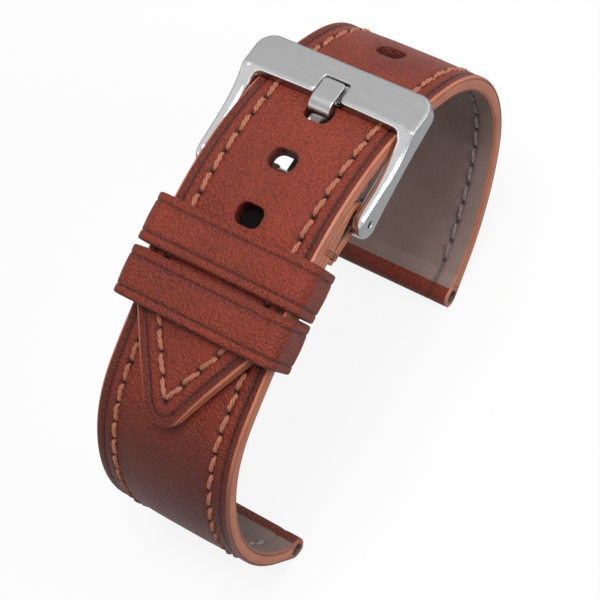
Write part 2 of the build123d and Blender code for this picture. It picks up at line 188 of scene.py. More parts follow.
def buckle_section(s):
    wall = BAR_FOLD - BAR_BORE
    if s <= BAR_AT:
        top, low = lug_depths(s)
        skived = max(0.0, (s - BAR_AT + SKIVE) / SKIVE)
        low -= skived * (THICKNESS - wall)
        return at(s, -top), at(s, -low)
    if s <= FOLD_END:
        along, out = directions(heading_at(BAR_AT))
        a = (s - BAR_AT) / BAR_FOLD
        ray = out * math.cos(a) + along * math.sin(a)
        return BAR + BAR_FOLD * ray, BAR + BAR_BORE * ray
    share = (s - FOLD_END) / BAR_FLAP
    far = BAR_AT - BAR_FLAP
    top = (1 - share) * at(BAR_AT, -BAR_FOLD - BAR_BORE) + share * at(far, -OUTER)
    low = (1 - share) * at(BAR_AT, -2 * BAR_FOLD) + share * at(far, -OUTER - wall)
    return low, top


# ---- Outline of the straps
SHARP_TIP = TIP_AT - (NOSE_RADIUS / math.sin(TIP_ANGLE) - NOSE_RADIUS)
NOSE_CENTRE = SHARP_TIP + NOSE_RADIUS / math.sin(TIP_ANGLE)
NOSE_END = NOSE_CENTRE - NOSE_RADIUS * math.sin(TIP_ANGLE)
TIP_END = SHARP_TIP + HALF_WIDTH / math.tan(TIP_ANGLE)
TIP_BLEND = 1.5


def tail_half_width(s):
    if s < NOSE_END:
        return math.sqrt(max(NOSE_RADIUS**2 - (s - NOSE_CENTRE) ** 2, 0.0))
    return min(HALF_WIDTH, (s - SHARP_TIP) * math.tan(TIP_ANGLE))


def tail_inset(s, y):
    """Distance of a point of the tail strap from its outline."""
    flank = (s - SHARP_TIP) * math.sin(TIP_ANGLE) - abs(y) * math.cos(TIP_ANGLE)
    inset = min(HALF_WIDTH - abs(y), flank)
    back = NOSE_CENTRE - s
    if back > 0 and abs(y) < back / math.tan(TIP_ANGLE):
        inset = NOSE_RADIUS - math.hypot(back, y)
    return max(inset, 0.0)


# ---- Relief of the leather: depths, distances from the edge, and how dark the leather is drawn, painted shade included
EDGE_ROUND = 0.32
CREASE_IN = 1.3
STITCH_IN = 3.05
STITCH_PITCH = 3.05
# Hollows and dark lines: depth or darkness, place and reach
COVER_HOLLOWS = (
    (0.20, CREASE_IN, 0.17),
    (0.06, CREASE_IN + 0.45, 0.22),
    (0.16, STITCH_IN, 0.42),
)
# The second of these dark lines, along the stitch row, is painted shade
COVER_LINES = ((0.95, CREASE_IN, 0.16), (0.30, STITCH_IN, 0.45))
# The darkness at the needle holes is painted shade
NEEDLE_HOLLOW, NEEDLE_PAINTED_SHADE = (0.45, 0.0, 0.36), (1.20, 0.0, 0.50)
# On the lining, the darkness along the stitch row and at the needle holes is painted shade
LINING_ROW, LINING_ROW_PAINTED_SHADE = (0.10, STITCH_IN, 0.4), (0.45, STITCH_IN, 0.4)
LINING_NEEDLE, LINING_NEEDLE_PAINTED_SHADE = (0.15, 0.0, 0.3), (1.0, 0.0, 0.42)
ROLL_CREASE = (0.14, LUG_ROLL, 0.28)
# The darkness at a hole's lip is painted shade, where the face rolls down into the hole
LIP_HOLLOW, LIP_PAINTED_SHADE = (0.07, 0.0, 0.7), (0.35, 0.0, 0.25)
LIP_ROUND = 0.10
# What fades out with the distance: depth or darkness, start and end
PADDING = (0.10, STITCH_IN, 8.0)
MARGIN_SHADE = (0.50, CREASE_IN, CREASE_IN + 0.8)
# Painted shade: the cover is drawn darker towards both lug ends, and the lining towards the buckle
# strap's lug end, where the loop turns away from the light
COVER_LUG_PAINTED_SHADE, LINING_LUG_PAINTED_SHADE = (0.5, 32.0, 46.0), (0.42, 16.0, 34.0)
PAINT_END = 0.5
# Painted shade on the buckle strap's cover beneath the tail strap grows between these insets from
# the tail's outline
UNDER_FROM, UNDER_TO = 1.0, 3.5


def bell(x, size, centre, reach):
    return size * math.exp(-(((x - centre) / reach) ** 2))


def smooth(x, low, high):
    t = min(max((x - low) / (high - low), 0.0), 1.0)
    return t * t * (3 - 2 * t)


def fading(x, size, start, end):
    return size * (1 - smooth(x, start, end))


def rounded_edge(inset, radius=EDGE_ROUND):
    if inset >= radius:
        return 0.0
    return radius - math.sqrt(max(radius**2 - (radius - inset) ** 2, 0.0))


def cover_relief(inset, needle_gap):
    """Depth below the flat face, and how dark the leather is drawn there, with painted shade at the
    needle holes and along the stitch row.
    """
    depth = rounded_edge(inset)
    for hollow in COVER_HOLLOWS:
        depth += bell(inset, *hollow)
    depth += fading(inset, *PADDING)
    depth += bell(needle_gap, *NEEDLE_HOLLOW)
    dark = max(
        fading(inset, *MARGIN_SHADE),
        bell(needle_gap, *NEEDLE_PAINTED_SHADE),
        *(bell(inset, *line) for line in COVER_LINES),
    )
    return depth, min(dark, 1.0) * smooth(inset, EDGE_ROUND, PAINT_END)


def lining_relief(inset, needle_gap):
    depth = rounded_edge(inset) + bell(inset, *LINING_ROW)
    depth += bell(needle_gap, *LINING_NEEDLE)
    dark = max(bell(needle_gap, *LINING_NEEDLE_PAINTED_SHADE), bell(inset, *LINING_ROW_PAINTED_SHADE))
    return depth, dark


# ---- Shapes of the straps: section, half width and inset, the slope of the outline, where
# the cover is folded to the inside, and the painted shade on the cover beneath the other strap
Shape = namedtuple("Shape", "section half_width inset slope folded under")
TAIL = Shape(
    tail_section,
    tail_half_width,
    tail_inset,
    lambda s: TIP_ANGLE * (1 - smooth(s, TIP_END - TIP_BLEND, TIP_END)),
    lambda s: s > loop_length - LUG_ROLL,
    lambda s, y: 0.0,
)
BUCKLE = Shape(
    buckle_section,
    lambda s: HALF_WIDTH,
    lambda s, y: HALF_WIDTH - abs(y),
    lambda s: 0.0,
    lambda s: s < LUG_ROLL,
    lambda s, y: smooth(tail_inset(s, y), UNDER_FROM, UNDER_TO) if s < BAR_AT else 0.0,
)

# ---- Stitch lines: the points where the thread goes through, along each row
ROW_Y = HALF_WIDTH - STITCH_IN
ROW_FROM_FLAP = 1.4
ROW_FROM_FOLD = 1.0
TIP_ROW_IN = STITCH_IN + 0.15


def tail_row(side):
    apex = SHARP_TIP + TIP_ROW_IN / math.sin(TIP_ANGLE)
    corner = SHARP_TIP + (TIP_ROW_IN + ROW_Y * math.cos(TIP_ANGLE)) / math.sin(TIP_ANGLE)
    flank = math.hypot(corner - apex, ROW_Y)
    total = flank + (loop_length - LUG_FLAP - ROW_FROM_FLAP) - corner
    count = round(total / STITCH_PITCH)
    points = []
    for i in range(count + 1):
        q = total * i / count
        if q < flank:
            share = q / flank
            points.append((apex + (corner - apex) * share, side * ROW_Y * share))
        else:
            points.append((corner + q - flank, side * ROW_Y))
    return points


def buckle_row(side):
    start, end = LUG_FLAP + ROW_FROM_FLAP, BAR_AT - BAR_FLAP + ROW_FROM_FOLD
    count = round((end - start) / STITCH_PITCH)
    return [(start + (end - start) * i / count, side * ROW_Y) for i in range(count + 1)]


TAIL_STITCHES = {side: tail_row(side) for side in (-1, 1)}
BUCKLE_STITCHES = {side: buckle_row(side) for side in (-1, 1)}


# ---- Building meshes
def placed(name, data):
    """A new object in the scene."""
    thing = bpy.data.objects.new(name, data)
    bpy.context.scene.collection.objects.link(thing)
    return thing


def mesh_object(name, points, faces, material, dark=None):
    """A smooth mesh object from points in millimetres."""
    mesh = bpy.data.meshes.new(name)
    mesh.from_pydata([tuple(MM * c for c in p) for p in points], [], faces)
    mesh.materials.append(material)
    if dark is not None:
        # The darkness of each point holds burnished lines and painted shade together
        attribute = mesh.attributes.new("burnish_and_painted_shade", "FLOAT", "POINT")
        attribute.data.foreach_set("value", np.asarray(dark, np.float32))
    mesh.polygons.foreach_set("use_smooth", [True] * len(mesh.polygons))
    mesh.validate()
    mesh.update()
    return placed(name, mesh)


class Skin:
    """Points and faces of one piece, each face tagged with the layer it belongs to."""

    def __init__(self):
        self.points, self.dark, self.faces, self.layers = [], [], [], []

    def add(self, point, dark=0.0):
        self.points.append(point)
        self.dark.append(dark)
        return len(self.points) - 1

    def face(self, layer, corners, turned=False):
        corners = corners[::-1] if turned else corners
        seen = [c for i, c in enumerate(corners) if c not in corners[:i]]
        if len(seen) > 2:
            self.faces.append(seen)
            self.layers.append(layer)

    def join(self, layer, near, far, turned=False):
        """Faces between two closed rings of as many points."""
        for k in range(len(near)):
            m = (k + 1) % len(near)
            self.face(layer, (near[k], near[m], far[m], far[k]), turned)

    def object(self, name, layer, material, body, slot, node):
        faces = [f for f, tag in zip(self.faces, self.layers) if tag == layer]
        used = sorted({i for f in faces for i in f})
        where = {old: new for new, old in enumerate(used)}
        thing = mesh_object(
            name,
            [self.points[i] for i in used],
            [[where[i] for i in f] for f in faces],
            material,
            [self.dark[i] for i in used],
        )
        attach(thing, body)
        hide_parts(node)


# Distances from the edge at which a strap has columns of points, and its other spacings
EDGE_INSETS = (
    0, 0.03, 0.10, 0.20, 0.32, 0.45, 0.7, 0.95, 1.15, 1.3, 1.4, 1.5,
    1.6, 1.72, 1.9, 2.15, 2.4, 2.6, 2.8, 3.0, 3.2, 3.4, 3.7, 4.25,
)
MIDDLE_STEP = 0.75
SIDE_STEPS = 6
SIDE_CROWN = 0.09
PAINT_COLUMN = 4
RIB = 0.3
LUG_RIBS = 9
NOSE_RIBS = 12
# A hole's surroundings are built as rings: the room kept for them, and their shares of it
HOLE_ROOM_ALONG, HOLE_ROOM_ACROSS = 2.4, 3.4
RING_SHARES = (0.0, 0.02, 0.05, 0.09, 0.15, 0.24, 0.38, 0.58, 0.8)
# Shares down a hole's wall, with the painted shade drawn there, darker further down
WALL_PAINTED_SHADES = ((0.12, 0.35), (0.35, 0.55), (0.7, 0.75))
BISECTIONS = 30
MOUTH_SHARES = (0.55, 1.0)
# Painted shade in a lug tunnel's mouth, which is drawn fully dark deep inside
MOUTH_PAINTED_SHADE = 0.5
MOUTH_GAP = 0.02
SLOT_SLACK = 0.01


def columns(half_width, slope):
    """Places across the strap: close together near the edges, where the relief is."""
    insets = np.array(EDGE_INSETS) / math.cos(slope)
    room = insets[-1] + 2 * MIDDLE_STEP
    insets = insets * min(1.0, half_width / room)
    middle = round((HALF_WIDTH - EDGE_INSETS[-1]) / MIDDLE_STEP) * 2
    inner = half_width - insets[-1]
    across = [inner * (2 * k / middle - 1) for k in range(1, middle)]
    left = [-half_width + v for v in insets]
    return left + across + [-v for v in reversed(left)]


def face_point(section, s, y, depth, inward):
    outer, inner = section(s)
    start, other = (inner, outer) if inward else (outer, inner)
    gap = other - start
    size = np.linalg.norm(gap)
    if size > TINY:
        start = start + gap / size * min(depth, size / 2)
    return (start[0], y, start[1])


def hole_reach(angle):
    """Distance from an oblong hole's centre to its edge, in the direction of this angle."""
    along, across = math.cos(angle), math.sin(angle)
    low, high = 0.0, HOLE_ACROSS
    for _ in range(BISECTIONS):
        r = (low + high) / 2
        dx = max(abs(r * along) - HOLE_ALONG / 2 + HOLE_CORNER, 0)
        dy = max(abs(r * across) - HOLE_ACROSS / 2 + HOLE_CORNER, 0)
        inside = math.hypot(dx, dy) < HOLE_CORNER
        low, high = (r, high) if inside else (low, r)
    return low


Row = namedtuple("Row", "s ys outs ins")
Block = namedtuple("Block", "centre i0 i1 j0 j1")


class Strap(Skin):
    """Both faces and the edges of one strap, with its tunnel, its holes and its slot."""

    def __init__(self, shape, ribs, stitches, holes=(), slot=None):
        super().__init__()
        self.shape = shape
        self.needles = np.array(stitches)
        self.rows = []
        for s in ribs:
            ys = columns(shape.half_width(s), shape.slope(s))
            outs = [self.vertex(s, y, False) for y in ys]
            ins = [self.vertex(s, y, True) for y in ys]
            self.rows.append(Row(s, ys, outs, ins))
        self.last = len(self.rows[0].ys) - 1
        blocks = [self.block(centre) for centre in holes]
        slot_cells = self.cells_in(*slot) if slot else set()
        open_cells = set(slot_cells)
        for _, i0, i1, j0, j1 in blocks:
            open_cells |= {(i, j) for i in range(i0, i1) for j in range(j0, j1)}
        self.add_faces(open_cells)
        self.add_edge(0, False)
        self.add_edge(self.last, True)
        for block in blocks:
            self.add_hole(block)
        self.add_slot_walls(slot_cells)
        self.add_flat_end()

    def vertex(self, s, y, inward, lip=None):
        """A point of a face; lip is its distance from an oblong hole near it."""
        needle_gap = float(np.min(np.hypot(self.needles[:, 0] - s, self.needles[:, 1] - y)))
        relief = lining_relief if inward else cover_relief
        depth, dark = relief(self.shape.inset(s, y), needle_gap)
        lug_gap = min(s, loop_length - s)
        # Painted shade towards the lug ends, and on the buckle strap's cover beneath the tail strap
        if inward:
            depth += bell(lug_gap, *ROLL_CREASE)
            dark = max(dark, fading(s, *LINING_LUG_PAINTED_SHADE))
        else:
            dark = max(dark, self.shape.under(s, y), fading(lug_gap, *COVER_LUG_PAINTED_SHADE))
        if lip is not None:
            depth += rounded_edge(lip, LIP_ROUND) + bell(lip, *LIP_HOLLOW)
            dark = max(dark, bell(lip, *LIP_PAINTED_SHADE))
        return self.add(face_point(self.shape.section, s, y, depth, inward), dark)

    def block(self, centre):
        """The ribs and columns between which a hole's rings are built."""
        i0 = max(i for i, row in enumerate(self.rows) if row.s <= centre - HOLE_ROOM_ALONG)
        i1 = min(i for i, row in enumerate(self.rows) if row.s >= centre + HOLE_ROOM_ALONG)
        ys = self.rows[i0].ys
        j0 = max(j for j, y in enumerate(ys) if y <= -HOLE_ROOM_ACROSS)
        j1 = min(j for j, y in enumerate(ys) if y >= HOLE_ROOM_ACROSS)
        return Block(centre, i0, i1, j0, j1)

    def cells_in(self, start, end):
        """Cells of the grid that the tongue's slot takes."""
        found = set()
        for i, (row, ahead) in enumerate(zip(self.rows, self.rows[1:])):
            if row.s >= start - SLOT_SLACK and ahead.s <= end + SLOT_SLACK:
                for j in range(self.last):
                    if abs(row.ys[j] + row.ys[j + 1]) / 2 < SLOT_HALF:
                        found.add((i, j))
        return found

    def layer_at(self, s, j, inward):
        if j < PAINT_COLUMN or j >= self.last - PAINT_COLUMN:
            return "edge"
        return "lining" if inward and not self.shape.folded(s) else "cover"

    def add_faces(self, open_cells):
        for i, (row, ahead) in enumerate(zip(self.rows, self.rows[1:])):
            for j in range(self.last):
                if (i, j) in open_cells:
                    continue
                a, b = row.outs, ahead.outs
                self.face(self.layer_at(row.s, j, False), (a[j], a[j + 1], b[j + 1], b[j]))
                a, b = row.ins, ahead.ins
                self.face(self.layer_at(row.s, j, True), (a[j + 1], a[j], b[j], b[j + 1]))

    def side_column(self, row, j):
        """Points down the strap's edge at one rib, from the outer face to the inner."""
        a, b = np.array(self.points[row.outs[j]]), np.array(self.points[row.ins[j]])
        crown = np.array((0.0, SIDE_CROWN if j else -SIDE_CROWN, 0.0))
        between = []
        for k in range(1, SIDE_STEPS):
            q = k / SIDE_STEPS
            between.append(self.add(tuple(a + (b - a) * q + crown * math.sin(math.pi * q) ** 2)))
        return [row.outs[j], *between, row.ins[j]]

    def add_edge(self, j, turned):
        """One long edge of the strap, with the lug tunnel's mouth in it."""
        strips = [self.side_column(row, j) for row in self.rows]
        places = [row.s for row in self.rows]
        if places[0] < TINY:
            first, last = 0, max(i for i, s in enumerate(places) if s < LUG_MOUTH)
            centre = at(LUG_RADIUS, -LUG_RADIUS)
        else:
            first = min(i for i, s in enumerate(places) if s > loop_length - LUG_MOUTH)
            last = len(places) - 1
            centre = at(loop_length - LUG_RADIUS, OUTER - LUG_RADIUS)
        for i, (a, b) in enumerate(zip(strips, strips[1:])):
            if not first <= i < last:
                for k in range(SIDE_STEPS):
                    self.face("edge", (a[k], a[k + 1], b[k + 1], b[k]), turned)
        self.add_tunnel(strips[first : last + 1], centre)

    def add_tunnel(self, strips, centre):
        """The edge round a tunnel's mouth, and the tunnel as far as the strap's middle."""
        ring = [strip[0] for strip in strips] + strips[-1][1:-1]
        ring += [strip[-1] for strip in reversed(strips)] + strips[0][-2:0:-1]
        ring = [v for k, v in enumerate(ring) if v not in ring[:k]]
        clear = []
        for v in ring:
            p = np.array(self.points[v])
            if not clear or np.linalg.norm(p - np.array(self.points[clear[-1]])) > MOUTH_GAP:
                clear.append(v)
        y = self.points[clear[0]][1]
        rings = [clear]
        for share in MOUTH_SHARES:
            new = []
            for v in clear:
                p = np.array((self.points[v][0], self.points[v][2]))
                ray = p - centre
                rim = centre + ray / np.linalg.norm(ray) * LUG_BORE
                spot = p + (rim - p) * share
                new.append(self.add((spot[0], y, spot[1]), MOUTH_PAINTED_SHADE * share))
            rings.append(new)
        mouth = [self.points[v] for v in rings[-1]]
        # Painted shade: the tunnel is drawn fully dark where it reaches the strap's middle
        deep = [self.add((x, 0.0, z), 1.0) for x, _, z in mouth]
        self.join("edge", rings[0], rings[1])
        self.join("edge", rings[1], rings[2])
        self.join("lining", rings[2], deep)

    def hole_ring(self, centre, rim, share, inward):
        ring = []
        for i, j in rim:
            s, y = self.rows[i].s - centre, self.rows[i].ys[j]
            angle, reach = math.atan2(y, s), math.hypot(s, y)
            edge = hole_reach(angle)
            r = edge + (reach - edge) * share
            place = (centre + r * math.cos(angle), r * math.sin(angle))
            ring.append(self.vertex(*place, inward, r - edge))
        return ring

    def add_hole(self, block):
        """An oblong hole, with rounded lips on both faces and a wall between them."""
        centre, i0, i1, j0, j1 = block
        rim = [(i0, j) for j in range(j0, j1)] + [(i, j1) for i in range(i0, i1)]
        rim += [(i1, j) for j in range(j1, j0, -1)] + [(i, j0) for i in range(i1, i0, -1)]
        mouths = []
        for inward, layer in ((False, "cover"), (True, "lining")):
            rings = [self.hole_ring(centre, rim, share, inward) for share in RING_SHARES]
            rings.append([(self.rows[i].ins if inward else self.rows[i].outs)[j] for i, j in rim])
            for near, far in zip(rings, rings[1:]):
                self.join(layer, near, far, not inward)
            mouths.append(rings[0])
        top, low = mouths
        walls = [top]
        # The wall is drawn darker with its depth: painted shade
        for share, dark in WALL_PAINTED_SHADES:
            ring = []
            for a, b in zip(top, low):
                p, q = np.array(self.points[a]), np.array(self.points[b])
                ring.append(self.add(tuple(p + (q - p) * share), dark))
            walls.append(ring)
        for near, far in zip(walls, walls[1:] + [low]):
            self.join("cover", near, far)

    def add_slot_walls(self, cells):
        for i, j in cells:
            out_a, in_a = self.rows[i].outs, self.rows[i].ins
            out_b, in_b = self.rows[i + 1].outs, self.rows[i + 1].ins
            for di, dj, corners in (
                (-1, 0, (out_a[j], out_a[j + 1], in_a[j + 1], in_a[j])),
                (1, 0, (out_b[j + 1], out_b[j], in_b[j], in_b[j + 1])),
                (0, -1, (out_b[j], out_a[j], in_a[j], in_b[j])),
                (0, 1, (out_a[j + 1], out_b[j + 1], in_b[j + 1], in_a[j + 1])),
            ):
                if (i + di, j + dj) not in cells:
                    self.face("edge", corners)

    def add_flat_end(self):
        """The end that isn't a lug: the tail's tip, or the end of the buckle's fold."""
        for row, turned in ((self.rows[0], False), (self.rows[-1], True)):
            if TINY < row.s < loop_length - TINY:
                outs, ins = row.outs, row.ins
                for j in range(self.last):
                    self.face("edge", (outs[j], ins[j], ins[j + 1], outs[j + 1]), turned)


def spread(start, end, spacing):
    count = max(1, round((end - start) / spacing))
    return [start + (end - start) * k / count for k in range(count)]


def lug_ribs():
    """Distances from a lug end that follow its round fold evenly."""
    return [LUG_RADIUS * (1 - math.cos(math.pi / 2 * k / LUG_RIBS)) for k in range(LUG_RIBS)]


# ---- Materials
def new_material(name):
    material = bpy.data.materials.new(name)
    material.use_nodes = True
    tree = material.node_tree
    return material, tree, tree.nodes["Principled BSDF"]


def linear(hex_colour):
    """An sRGB colour such as '9c4a35' as linear RGBA."""
    parts = [int(hex_colour[i : i + 2], 16) / 255 for i in (0, 2, 4)]
    parts = [c / 12.92 if c <= 0.04045 else ((c + 0.055) / 1.055) ** 2.4 for c in parts]
    return (*parts, 1.0)


def grey(value):
    return (value, value, value, 1.0)


BLACK, WHITE = grey(0.0), grey(1.0)


def connect(tree, value, socket):
    """Links the value to the socket, or sets the socket to it where it is a constant."""
    if isinstance(value, bpy.types.NodeSocket):
        tree.links.new(value, socket)
    else:
        socket.default_value = value


def node(tree, kind, **values):
    """A new shader node with these inputs."""
    made = tree.nodes.new("ShaderNode" + kind)
    for name, value in values.items():
        connect(tree, value, made.inputs[name])
    return made


def noise(tree, where, size, detail=4.0, roughness=0.55):
    scale = 1 / (size * MM)
    made = node(tree, "TexNoise", Vector=where, Scale=scale, Detail=detail, Roughness=roughness)
    return made.outputs["Fac"]


def cells(tree, where, size):
    return node(tree, "TexVoronoi", Vector=where, Scale=1 / (size * MM)).outputs["Distance"]


def ramp(tree, factor, *stops):
    made = node(tree, "ValToRGB", Fac=factor)
    elements = made.color_ramp.elements
    while len(elements) < len(stops):
        elements.new(0.5)
    for element, (place, colour) in zip(elements, stops):
        element.position = place
        element.color = colour
    return made.outputs["Color"]


def mix(tree, factor, a, b):
    made = node(tree, "Mix")
    made.data_type = "RGBA"
    for place, value in ((0, factor), (6, a), (7, b)):
        connect(tree, value, made.inputs[place])
    return made.outputs[2]


def maths(tree, operation, a, b):
    made = node(tree, "Math")
    made.operation = operation
    connect(tree, a, made.inputs[0])
    connect(tree, b, made.inputs[1])
    return made.outputs[0]


def surface(tree, shader, tone, roughness):
    connect(tree, tone, shader.inputs["Base Color"])
    connect(tree, roughness, shader.inputs["Roughness"])


def bumped(tree, shader, height, distance, strength):
    made = node(tree, "Bump", Height=height, Distance=distance * MM, Strength=strength)
    connect(tree, made.outputs["Normal"], shader.inputs["Normal"])


def place_in(tree):
    return node(tree, "TexCoord").outputs["Object"]


def burnish_and_painted_shade_in(tree):
    """How dark the leather is drawn, which the meshes carry with their points: burnished margins
    and crease lines, and painted shade in holes, grooves and tunnels, beneath the tail strap and
    towards the lug ends.
    """
    made = node(tree, "Attribute")
    made.attribute_name = "burnish_and_painted_shade"
    return made.outputs["Fac"]


def cover_leather():
    material, tree, shader = new_material("cover_leather")
    where = place_in(tree)
    cloud = noise(tree, where, 9.0, 3.0)
    fleck = noise(tree, where, 0.45, 5.0, 0.65)
    pores = cells(tree, where, 0.36)
    small = cells(tree, where, 0.20)
    fine = noise(tree, where, 0.16, 3.0, 0.6)
    burnish_and_painted_shade = burnish_and_painted_shade_in(tree)
    # Painted shade: where the darkness passes 0.9, as beneath the tail strap and at the needle
    # holes, the cover is drawn near black and rough
    deep = ramp(tree, burnish_and_painted_shade, (0.9, BLACK), (1.0, WHITE))
    tone = ramp(
        tree, cloud, (0.30, linear("742617")), (0.50, linear("8e321d")), (0.70, linear("a03c24"))
    )
    flecks = ramp(tree, fleck, (0.3, linear("541a10")), (0.7, linear("b8533a")))
    tone = mix(tree, 0.35, tone, flecks)
    valley = ramp(tree, pores, (0.45, BLACK), (0.85, WHITE))
    tone = mix(tree, maths(tree, "MULTIPLY", valley, 0.46), tone, linear("4d1a12"))
    # The cover darkens with its burnished lines and with painted shade
    tone = mix(tree, burnish_and_painted_shade, tone, linear("32100d"))
    tone = mix(tree, deep, tone, linear("0c0504"))
    pores, small = maths(tree, "MULTIPLY", pores, -0.8), maths(tree, "MULTIPLY", small, -0.45)
    height = maths(tree, "ADD", pores, small)
    height = maths(tree, "ADD", height, maths(tree, "MULTIPLY", fine, 0.35))
    bumped(tree, shader, height, 0.20, 1.0)
    polish = ramp(tree, fleck, (0.3, grey(0.34)), (0.7, grey(0.48)))
    surface(tree, shader, tone, mix(tree, deep, polish, WHITE))
    shader.inputs["Specular IOR Level"].default_value = 0.30
    return material


def edge_paint():
    material, tree, shader = new_material("edge_paint")
    where = place_in(tree)
    cloud = noise(tree, where, 4.0)
    tone = ramp(tree, cloud, (0.3, linear("ba6c50")), (0.7, linear("cc8060")))
    # The edge darkens with painted shade, as in the tunnel mouths and towards the lug ends
    tone = mix(tree, burnish_and_painted_shade_in(tree), tone, linear("4a1c14"))
    bumped(tree, shader, noise(tree, where, 0.7, 3.0), 0.015, 0.6)
    surface(tree, shader, tone, 0.45)
    return material


def lining_leather():
    material, tree, shader = new_material("lining_leather")
    where = place_in(tree)
    nap = noise(tree, where, 0.35, 5.0, 0.65)
    cloud = noise(tree, where, 7.0, 3.0)
    tone = ramp(tree, cloud, (0.3, linear("9d847c")), (0.7, linear("b39a91")))
    naps = ramp(tree, nap, (0.3, linear("826d66")), (0.7, linear("c8afa8")))
    tone = mix(tree, 0.3, tone, naps)
    # The lining darkens with painted shade at its needle holes and stitch row, in the tunnels and
    # towards the buckle strap's lug end
    tone = mix(tree, burnish_and_painted_shade_in(tree), tone, linear("231917"))
    bumped(tree, shader, nap, 0.05, 0.7)
    surface(tree, shader, tone, 0.8)
    return material


def thread(name, light, dark):
    material, tree, shader = new_material(name)
    fibres = noise(tree, place_in(tree), 0.12, 4.0, 0.7)
    tone = ramp(tree, fibres, (0.3, linear(dark)), (0.65, linear(light)))
    bumped(tree, shader, fibres, 0.03, 0.8)
    surface(tree, shader, tone, 0.7)
    shader.inputs["Sheen Weight"].default_value = 0.1
    return material


def steel(name, dark, light, roughness, streak=None, depth=0.0):
    """Steel; its grain is drawn out along the axes on which streak is below 1."""
    material, tree, shader = new_material(name)
    where = place_in(tree)
    if streak:
        stretch = node(tree, "Mapping", Vector=where, Scale=streak)
        grain = noise(tree, stretch.outputs["Vector"], 0.09, 3.0, 0.7)
        bumped(tree, shader, grain, depth, 1.0)
    else:
        grain = noise(tree, where, 1.5)
    polish = ramp(tree, grain, (0.3, grey(roughness - 0.04)), (0.7, grey(roughness + 0.06)))
    tone = ramp(tree, grain, (0.25, linear(dark)), (0.75, linear(light)))
    surface(tree, shader, tone, polish)
    shader.inputs["Metallic"].default_value = 1.0
    return material


COVER = cover_leather()
EDGE = edge_paint()
LINING = lining_leather()
THREAD = thread("stitching_thread", "d68e6e", "824330")
LINING_THREAD = thread("lining_thread", "b8a9a2", "6b5b55")
BRUSHED = steel("brushed_steel", "9d9d9d", "ababab", 0.40, (1.0, 0.03, 1.0), 0.004)
SATIN = steel("satin_steel", "aaabad", "b8b9bb", 0.25, (0.15, 1.0, 0.15), 0.002)
BENT = steel("bent_steel", "aaaaac", "b4b4b6", 0.22)
# A darker steel for painted shade, in the buckle's window and on the tongue down in its hole
PAINTED_SHADE_STEEL = steel("painted_shade_steel", "8c8280", "9c9290", 0.22)
POLISHED = steel("polished_steel", "cccccd", "d8d8d9", 0.10)
TURNED = steel("turned_steel", "9c9ca0", "b6b6ba", 0.28, (1.0, 0.2, 1.0), 0.004)


# ---- The two straps
def strap_pieces(name, skin):
    cover, filler, lining = name + "_cover", name + "_filler", name + "_lining"
    skin.object(cover + "_leather", "cover", COVER, "straps", "cover_leather", cover)
    skin.object(name + "_painted_edge", "edge", EDGE, "straps", "filler_leather", filler)
    skin.object(lining + "_leather", "lining", LINING, "straps", "lining_leather", lining)


tail_ribs = [TIP_AT + (NOSE_END - TIP_AT) * (k / NOSE_RIBS) ** 2 for k in range(NOSE_RIBS)]
tail_ribs += spread(NOSE_END, loop_length - LUG_RADIUS, RIB)
tail_ribs += [loop_length - e for e in reversed(lug_ribs())]
tail_ribs[-1] = loop_length
tail_holes = [FIRST_HOLE + HOLE_PITCH * k for k in range(HOLE_COUNT)]
tail = Strap(TAIL, tail_ribs, TAIL_STITCHES[-1] + TAIL_STITCHES[1], holes=tail_holes)
strap_pieces("tail_strap", tail)

slot_start = BAR_AT - SLOT_BACK
slot_end = FOLD_END + SLOT_BACK
buckle_ribs = lug_ribs()
buckle_stops = (LUG_RADIUS, slot_start, BAR_AT, FOLD_END, slot_end, FLAP_END)
for start, end in zip(buckle_stops, buckle_stops[1:]):
    buckle_ribs += spread(start, end, RIB)
buckle_ribs.append(FLAP_END)
buckle_stitches = BUCKLE_STITCHES[-1] + BUCKLE_STITCHES[1]
buckle = Strap(BUCKLE, buckle_ribs, buckle_stitches, slot=(slot_start, slot_end))
strap_pieces("buckle_strap", buckle)

# ---- Thread
# On the outer and on the inner face: material, radius, rise, and the relief it lies on
YARNS = ((THREAD, 0.18, 0.08, cover_relief), (LINING_THREAD, 0.14, 0.10, lining_relief))
TUBE_SIDES = 7
PLIES = 3
STITCH_STEPS = 16
STITCH_TURNS = 0.9
STITCH_TWIST = 0.9
STITCH_DIVE = 0.5
STITCH_SWELL_POWER = 5
PLY_PLACE, PLY_SWELL, PLY_RADIUS = 0.75, 0.25, 1.02
STITCH_LEAN = 0.16
STITCH_TRIM = 0.07
FAR_FROM_NEEDLE = 9.0


def add_tube(points, faces, line, side, ups, radius):
    """Adds a tube along a line, whose section lies in the plane of side and up."""
    first = len(points)
    for p, up in zip(line, ups):
        for k in range(TUBE_SIDES):
            a = 2 * math.pi * k / TUBE_SIDES
            points.append(tuple(p + radius * (math.cos(a) * side + math.sin(a) * up)))
    for i in range(len(line) - 1):
        for k in range(TUBE_SIDES):
            m = (k + 1) % TUBE_SIDES
            a, b = first + i * TUBE_SIDES, first + (i + 1) * TUBE_SIDES
            faces.append((a + k, a + m, b + m, b + k))
    faces.append(tuple(first + k for k in reversed(range(TUBE_SIDES))))
    end = first + (len(line) - 1) * TUBE_SIDES
    faces.append(tuple(end + k for k in range(TUBE_SIDES)))


